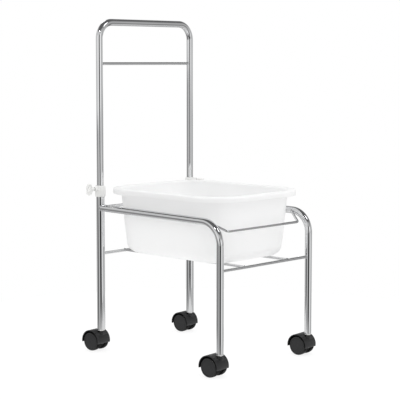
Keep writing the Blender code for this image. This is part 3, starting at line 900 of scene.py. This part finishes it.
# ---------------------------------------------------------------- tub
def tub_ring(bm, half_x, half_y, inset, height):
    """A ring of the tub's rounded rectangle."""
    radius = TUB_CORNER - TUB_CORNER_TAPER * inset
    across = half_x - inset - radius
    along = half_y - inset - radius
    ring = []
    corners = ((1, 1), (-1, 1), (-1, -1), (1, -1))
    for quarter, (sign_x, sign_y) in enumerate(corners):
        for k in range(TUB_CORNER_STEPS + 1):
            angle = math.pi / 2 * (quarter + k / TUB_CORNER_STEPS)
            x = sign_x * across + radius * math.cos(angle)
            y = sign_y * along + radius * math.sin(angle)
            ring.append((x, y))
        next_x, next_y = corners[(quarter + 1) % 4]
        angle = math.pi / 2 * (quarter + 1)
        out_x, out_y = math.cos(angle), math.sin(angle)
        start = Vector((sign_x * across + radius * out_x, sign_y * along + radius * out_y))
        end = Vector((next_x * across + radius * out_x, next_y * along + radius * out_y))
        for k in range(1, TUB_SIDE_STEPS):
            point = start.lerp(end, k / TUB_SIDE_STEPS)
            ring.append((point.x, point.y))
    return [bm.verts.new((x, y, height)) for x, y in ring]


def wall_inset(height, rim_low):
    """How far the outer wall stands inside the rim's edge at a height."""
    return TUB_INSET + (rim_low - height) * TUB_DRAFT


def bottom_turn(low, radius, extra, rim_low, steps=12):
    """Inset and height pairs from the flat bottom round to the wall."""
    levels = []
    for k in range(steps + 1):
        angle = math.pi / 2 * k / steps
        height = low + radius * (1 - math.cos(angle))
        inset = wall_inset(height, rim_low) + extra + radius * (1 - math.sin(angle))
        levels.append((inset, height))
    return levels


def build_tub():
    """The moulded tub: drafted walls, a rounded bottom and a broad turned-down rim."""
    low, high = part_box("tub")
    half_x = (high.x - low.x) / 2
    half_y = (high.y - low.y) / 2
    rim_low = high.z - TUB_RIM_DROP
    underside = high.z - TUB_WALL
    inner_edge = wall_inset(high.z, rim_low) + TUB_WALL
    rim = [
        (wall_inset(underside - 0.030, rim_low), underside - 0.030),
        (wall_inset(underside, rim_low), underside),
        (TUB_WALL + 0.0004, underside - 0.0004),
        (TUB_WALL - 0.0003, rim_low),
        (0.0, rim_low),
        (0.0, high.z),
        (inner_edge, high.z),
        (wall_inset(high.z - 0.030, rim_low) + TUB_WALL, high.z - 0.030),
    ]
    radii = (0, 0.0022, 0.0030, 0.0006, 0.0009, 0.0058, 0.0058, 0)
    rounded = [Vector(rim[0])]
    for before, corner, after, radius in zip(rim, rim[1:], rim[2:], radii[1:]):
        rounded += soften([before, corner, after], radius, 7)[1:-1]
    rounded.append(Vector(rim[-1]))
    outside = bottom_turn(low.z, TUB_FILLET, 0, rim_low)
    inside = bottom_turn(low.z + TUB_WALL, TUB_FILLET - TUB_WALL, TUB_WALL, rim_low)
    levels = outside + [tuple(p) for p in rounded] + inside[::-1]
    bm = bmesh.new()
    floor_insets = [0.010, 0.022, 0.034]
    rings = []
    for extra in floor_insets[::-1]:
        rings.append(tub_ring(bm, half_x, half_y, outside[0][0] + extra, outside[0][1]))
    for inset, height in levels:
        rings.append(tub_ring(bm, half_x, half_y, inset, height))
    for extra in floor_insets:
        rings.append(tub_ring(bm, half_x, half_y, inside[0][0] + extra, inside[0][1]))
    mesh = capped(bm, rings, "tub_shell")
    centre = (low + high) / 2
    mesh.transform(Matrix.Translation((centre.x, centre.y, 0)))
    piece("tub_shell", mesh, "tub_body", TUB_WHITE, ["tub"], 50)


# ---------------------------------------------------------------- casters
def hood_mesh(trail, axle_z):
    """The hood over both wheels: a curved shell with rounded edges and ends."""
    section = [
        (-WHEEL_OUT, HOOD_IN_R),
        (-WHEEL_OUT, HOOD_OUT_R),
        (WHEEL_OUT, HOOD_OUT_R),
        (WHEEL_OUT, HOOD_IN_R),
    ]
    loop = soften(section, 0.0009, 4, closed=True)
    centre = Vector((0, (HOOD_IN_R + HOOD_OUT_R) / 2))
    steps = 56
    bm = bmesh.new()
    rings = []
    stations = [(k / steps, 0.0) for k in range(steps + 1)]
    stations = [(-0.004, 0.0006)] + stations + [(1.004, 0.0006)]
    for share, shrink in stations:
        angle = HOOD_FRONT_ANGLE + (HOOD_REAR_ANGLE - HOOD_FRONT_ANGLE) * share
        ring = []
        for x, radius in loop:
            if shrink:
                x -= math.copysign(min(shrink, abs(x)), x)
                radius += math.copysign(shrink, centre.y - radius)
            y = trail + HOOD_SHIFT + radius * math.cos(angle)
            z = axle_z + HOOD_SHIFT + radius * math.sin(angle)
            ring.append(bm.verts.new((x, y, z)))
        rings.append(ring)
    return capped(bm, rings, "hood")


def web_mesh(trail, axle_z):
    """The wall between the wheels, which carries the axle."""
    inside = (HOOD_OUT_R + HOOD_IN_R) / 2
    steps = 40
    outline = []
    for k in range(steps + 1):
        angle = HOOD_FRONT_ANGLE + (HOOD_REAR_ANGLE - HOOD_FRONT_ANGLE) * k / steps
        y = trail + HOOD_SHIFT + inside * math.cos(angle)
        outline.append((y, axle_z + HOOD_SHIFT + inside * math.sin(angle)))
    below = axle_z - 0.009
    foot = [
        outline[-1],
        (trail + 0.009, below),
        (trail - 0.009, below),
        (trail + HOOD_SHIFT - inside + 0.006, below + 0.001),
        outline[0],
    ]
    outline += [tuple(p) for p in soften(foot, 0.004, 5)[1:-1]]
    return slab(outline, -WEB_HALF, WEB_HALF)


def housing_mesh(trail, axle_z, boss_top):
    """Hood, web and stem boss in one moulding, with its edges broken."""
    boss_profile = [
        (0, 0.040),
        (WEB_HALF - 0.0002, 0.040),
        (WEB_HALF - 0.0002, 0.0460),
        (STEM_BOSS_R + 0.0016, 0.0464),
        (STEM_BOSS_R + 0.0016, 0.0478),
        (STEM_BOSS_R + 0.0003, 0.0492),
        (STEM_BOSS_R, 0.0510),
        (STEM_BOSS_R, boss_top - 0.0004),
        (STEM_BOSS_R - 0.0005, boss_top),
        (0, boss_top),
    ]
    moulding = combined(hood_mesh(trail, axle_z), web_mesh(trail, axle_z))
    moulding = combined(moulding, lathe(boss_profile, 56))
    radius = STEM_R + FIT
    stem_hole = lathe([(0, 0.0355), (radius, 0.0355), (radius, 0.060), (0, 0.060)], 32)
    moulding = combined(moulding, stem_hole, "DIFFERENCE")
    radius = AXLE_R + FIT
    axle_hole = lathe([(0, -0.03), (radius, -0.03), (radius, 0.03), (0, 0.03)], 32, "X")
    axle_hole.transform(Matrix.Translation((0, trail, axle_z)))
    moulding = combined(moulding, axle_hole, "DIFFERENCE")
    settings = {"width": 0.0004, "segments": 2, "use_clamp_overlap": True}
    settings |= {"limit_method": "ANGLE", "angle_limit": math.radians(50)}
    return evaluated(moulding, "edges", "BEVEL", **settings)


def wheel_mesh(radius):
    """The right-hand wheel at its axle: a dished outer face with a rim bead, and a crowned tread."""
    face = WHEEL_OUT - 0.0006
    bore = AXLE_R + FIT
    profile = [
        (0, face - 0.0001),
        (0.0040, face - 0.0001),
        (0.0046, face + 0.0001),
        (0.0188, face + 0.0001),
        (0.0194, face - 0.0003),
        (0.0198, face - 0.0003),
        (0.0203, WHEEL_OUT),
        (radius - 0.0030, WHEEL_OUT),
        (radius - 0.0014, WHEEL_OUT - 0.0010),
        (radius - 0.0003, WHEEL_OUT - 0.0030),
        (radius, WHEEL_OUT - 0.0058),
        (radius, WHEEL_IN + 0.0050),
        (radius - 0.0002, WHEEL_IN + 0.0018),
        (radius - 0.0012, WHEEL_IN),
        (0.0205, WHEEL_IN),
        (0.0198, WHEEL_IN + 0.0012),
        (0.0062, WHEEL_IN + 0.0012),
        (0.0056, WHEEL_IN),
        (bore, WHEEL_IN),
        (bore, AXLE_HALF + 0.0003),
        (0, AXLE_HALF + 0.0003),
    ]
    mesh = lathe(soften(profile, 0.0007, 4), 112, "X")
    rubber = mesh.attributes.new("tread", "FLOAT", "POINT")
    for vertex, value in zip(mesh.vertices, rubber.data):
        reach = math.hypot(vertex.co.y, vertex.co.z)
        if reach > radius - WHEEL_EDGE:
            value.value = 0.5 if vertex.co.x > WHEEL_OUT - WHEEL_EDGE else 1.0
    return mesh


def stem_mesh(top):
    """The steel pin that swivels in the leg's plug, with its thrust shoulder and ring groove."""
    ring_z = 0.0710
    profile = [
        (0, STEM_LOW_Z),
        (STEM_R, STEM_LOW_Z),
        (STEM_R, 0.0530),
        (0.0056, 0.0530),
        (0.0056, 0.0535),
        (STEM_R, 0.0535),
        (STEM_R, ring_z - 0.0010),
        (STEM_R - 0.0008, ring_z - 0.0010),
        (STEM_R - 0.0008, ring_z + 0.0010),
        (STEM_R, ring_z + 0.0010),
        (STEM_R, top - 0.0012),
        (STEM_R - 0.0012, top),
        (0, top),
    ]
    return lathe(soften(profile, 0.0002, 2), 40)


def build_casters():
    """Four alike twin-wheel casters, each turned as its joints say."""
    first = CORNERS[0]
    swivel = Vector(JOINTS[f"{first}_swivel"]["pos_m"])
    axle = Vector(JOINTS[f"{first}_left_roll"]["pos_m"])
    trail = math.hypot(axle.x - swivel.x, axle.y - swivel.y)
    axle_z = axle.z
    housing = housing_mesh(trail, axle_z, JOINTS[f"{first}_swivel"]["pos_m"][2])
    wheel = wheel_mesh(axle_z)
    stem = stem_mesh(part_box(f"{first}_caster_stem")[1].z)
    axle_profile = [(0, -AXLE_HALF), (AXLE_R, -AXLE_HALF), (AXLE_R, AXLE_HALF), (0, AXLE_HALF)]
    pin = lathe(soften(axle_profile, 0.0004, 3), 32, "X")
    for corner in CORNERS:
        at = corner_axis(corner)
        heading = JOINTS[f"{corner}_left_roll"]["axis"]
        turn = Matrix.Rotation(math.atan2(heading[1], heading[0]), 4, "Z")
        stand = Matrix.Translation(at) @ turn
        hub = stand @ Matrix.Translation((0, trail, axle_z))
        body = f"{corner}_caster"
        name = f"{corner}_caster_hood"
        parts = [f"{corner}_caster_housing"]
        piece(name, moved(housing, stand), body, HOUSING_BLACK, parts)
        parts = [f"{corner}_caster_stem"]
        piece(f"{corner}_swivel_pin", moved(stem, stand), body, STEEL, parts)
        parts = [f"{corner}_caster_axle"]
        piece(f"{corner}_axle_pin", moved(pin, hub), body, STEEL, parts)
        for label, side in SIDES.items():
            name = f"{corner}_{label}_wheel_tyre"
            mesh = moved(wheel, hub @ mirror_for(side))
            parts = [f"{corner}_caster_{label}_wheel"]
            piece(name, mesh, f"{corner}_{label}_wheel", WHEEL_BLACK, parts)


def finish_kept_nodes():
    """The hidden CAD nodes that stay as they are take the detailed finishes."""
    finishes = {"clamp_nut": STEEL, "grip_ring": STEEL, "handle_glide": CLAMP_WHITE}
    for name, item in frame["nodes"].items():
        for ending, material in finishes.items():
            if name.endswith(ending):
                item.material_slots[0].material = material


# ---------------------------------------------------------------- studio
FLOOR_RADIUS = 0.95
CARD_RADIUS = 0.70
CARD_FULL = 0.28              # out to here the card is opaque; beyond it fades


def disc(name, radius, height):
    """A flat round sheet of the studio."""
    bm = bmesh.new()
    bmesh.ops.create_circle(bm, cap_ends=True, segments=128, radius=radius)
    made = add_object(name, as_mesh(bm, name))
    made.location.z = CAD_BOX[0].z + height
    return made


def build_floor():
    """A round, pale floor, bright enough that its shadows stay faint."""
    floor = disc("studio_floor", FLOOR_RADIUS, -0.0002)
    material, tree, shader, place = new_material("floor_paper")
    paper = ramp(tree, noise(tree, place, 3, 2), ((0.3, 0.17), (0.7, 0.19)))
    tree.links.new(paper, shader.inputs["Base Color"])
    shader.inputs["Roughness"].default_value = 0.9
    shader.inputs["Emission Color"].default_value = (1, 1, 1, 1)
    shader.inputs["Emission Strength"].default_value = 0.84
    floor.data.materials.append(material)
    floor.visible_glossy = False


def build_reflection_card():
    """The grey sheet that the chrome mirrors in place of the floor; its edge fades out."""
    card = disc("reflection_card", CARD_RADIUS, -0.0010)
    material = bpy.data.materials.new("card_grey")
    material.use_nodes = True
    tree = material.node_tree
    tree.nodes.clear()
    place = node(tree, "ShaderNodeTexCoord").outputs["Object"]
    reach = node(tree, "ShaderNodeVectorMath", {0: place}, operation="LENGTH").outputs["Value"]
    fade = between(tree, reach, 1.0, 0.0, CARD_FULL, CARD_RADIUS)
    tone = ramp(tree, reach, ((0.20, 0.92), (0.50, 0.62)))
    grey = node(tree, "ShaderNodeEmission", {"Color": tone, "Strength": 1.0})
    clear = node(tree, "ShaderNodeBsdfTransparent")
    mix = node(tree, "ShaderNodeMixShader", {0: fade})
    tree.links.new(clear.outputs[0], mix.inputs[1])
    tree.links.new(grey.outputs[0], mix.inputs[2])
    output = node(tree, "ShaderNodeOutputMaterial")
    tree.links.new(mix.outputs[0], output.inputs["Surface"])
    card.data.materials.append(material)
    card.visible_camera = False
    card.visible_diffuse = False
    card.visible_transmission = False
    card.visible_shadow = False


def around(tree, turn, bands):
    """Grey levels round the horizon; bands are (azimuth in degrees, level), blended between."""
    stops = [(azimuth / 360, level) for azimuth, level in bands]
    (first_at, first), (last_at, last) = stops[0], stops[-1]
    share = first_at / (first_at + 1 - last_at)
    seam = first + (last - first) * share
    return ramp(tree, turn, [(0.0, seam), *stops, (1.0, seam)])


def build_world():
    """A white studio. In reflections it has the grey flags that give chrome its stripes."""
    world = bpy.data.worlds.new("studio")
    bpy.context.scene.world = world
    world.use_nodes = True
    tree = world.node_tree
    tree.nodes.clear()
    direction = node(tree, "ShaderNodeTexCoord").outputs["Generated"]
    parts = node(tree, "ShaderNodeSeparateXYZ", {0: direction}).outputs
    angle = math_node(tree, "ARCTAN2", parts["Y"], parts["X"])
    share = math_node(tree, "ADD", math_node(tree, "DIVIDE", angle, 2 * math.pi), 1.0)
    turn = math_node(tree, "FRACT", share)
    below = around(tree, turn, (
        (30, 0.60), (105, 0.66), (122, 0.62), (140, 0.16), (166, 0.14), (180, 0.70), (201, 0.70),
        (211, 0.02), (238, 0.02), (250, 0.34), (261, 0.95), (292, 1.05), (306, 0.44), (326, 0.44),
        (344, 0.80),
    ))
    middle = around(tree, turn, (
        (30, 0.52), (105, 0.62), (132, 0.34), (164, 0.32), (180, 0.85), (204, 0.88), (213, 0.10),
        (238, 0.10), (249, 0.95), (280, 0.85), (296, 0.52), (320, 0.48), (346, 0.60),
    ))
    above = around(tree, turn, (
        (30, 0.74), (105, 0.66), (145, 0.84), (180, 1.05), (208, 1.0), (216, 0.02), (240, 0.02),
        (247, 1.2), (272, 1.2), (292, 0.56), (318, 0.60), (346, 0.74),
    ))
    shoulder = around(tree, turn, (
        (30, 0.60), (120, 0.74), (200, 0.80), (250, 0.55), (315, 0.36), (345, 0.20),
    ))
    height = parts["Z"]
    horizon = mixed(tree, between(tree, height, 0.0, 1.0, -0.115, -0.095), below, middle)
    horizon = mixed(tree, between(tree, height, 0.0, 1.0, -0.040, -0.020), horizon, above)
    horizon = mixed(tree, between(tree, height, 0.0, 1.0, -0.36, -0.30), (0.25, 0.25, 0.25), horizon)
    horizon = mixed(tree, between(tree, height, 0.0, 1.0, -0.62, -0.52), (0.72, 0.72, 0.72), horizon)
    raised = mixed(tree, between(tree, height, 0.0, 1.0, 0.22, 0.34), horizon, shoulder)
    dome = mixed(tree, between(tree, height, 0.0, 1.0, 0.52, 0.62), raised, (0.15, 0.15, 0.152))
    mirrored = node(tree, "ShaderNodeBackground", {"Color": dome, "Strength": 1.0})
    towards_light = {0: direction, 1: (0.08, -0.02, 0.24)}
    tilt = node(tree, "ShaderNodeVectorMath", towards_light, operation="DOT_PRODUCT")
    level = math_node(tree, "ADD", tilt.outputs["Value"], 0.885)
    soft_light = node(tree, "ShaderNodeBackground", {"Color": level, "Strength": 1.0})
    backdrop = node(tree, "ShaderNodeBackground", {"Color": (1, 1, 1, 1), "Strength": 1.0})
    ray = node(tree, "ShaderNodeLightPath").outputs
    lit = node(tree, "ShaderNodeMixShader", {0: ray["Is Glossy Ray"]})
    tree.links.new(soft_light.outputs[0], lit.inputs[1])
    tree.links.new(mirrored.outputs[0], lit.inputs[2])
    seen = node(tree, "ShaderNodeMixShader", {0: ray["Is Camera Ray"]})
    tree.links.new(lit.outputs[0], seen.inputs[1])
    tree.links.new(backdrop.outputs[0], seen.inputs[2])
    output = node(tree, "ShaderNodeOutputWorld")
    tree.links.new(seen.outputs[0], output.inputs["Surface"])


def build_lights():
    """Two soft lamps high on either side, and a small one that sparkles on the wheels' edges."""
    for name, azimuth, reach, height, size, power in (
        ("key_lamp", 285, 1.5, 2.1, 0.6, 4),
        ("back_lamp", 75, 1.7, 2.2, 0.6, 3),
        ("spark_lamp", 203, 2.0, 2.2, 0.16, 3),
    ):
        data = bpy.data.lights.new(name, "AREA")
        data.energy = power
        data.size = size
        lamp = add_object(name, data)
        a = math.radians(azimuth)
        lamp.location = (reach * math.cos(a), reach * math.sin(a), height)
        aim = Vector((0, 0, 0.35)) - lamp.location
        lamp.rotation_euler = aim.to_track_quat("-Z", "Y").to_euler()


def build_camera():
    """The photograph's view."""
    data = bpy.data.cameras.new("camera")
    data.lens = CAMERA_LENS
    data.shift_y = CAMERA_SHIFT_Y
    camera = add_object("camera", data)
    camera.location = CAMERA_PLACE
    camera.rotation_euler = (math.pi / 2 - CAMERA_PITCH, 0, CAMERA_YAW)
    bpy.context.scene.camera = camera


for side_label, side_sign in SIDES.items():
    build_side(side_label, side_sign)
build_cross_rods()
build_guard_rod()
build_sockets()
build_handle()
build_clamps()
build_tub()
build_casters()
finish_kept_nodes()
build_floor()
build_reflection_card()
build_world()
build_lights()
build_camera()
bpy.context.scene.view_settings.view_transform = "Standard"
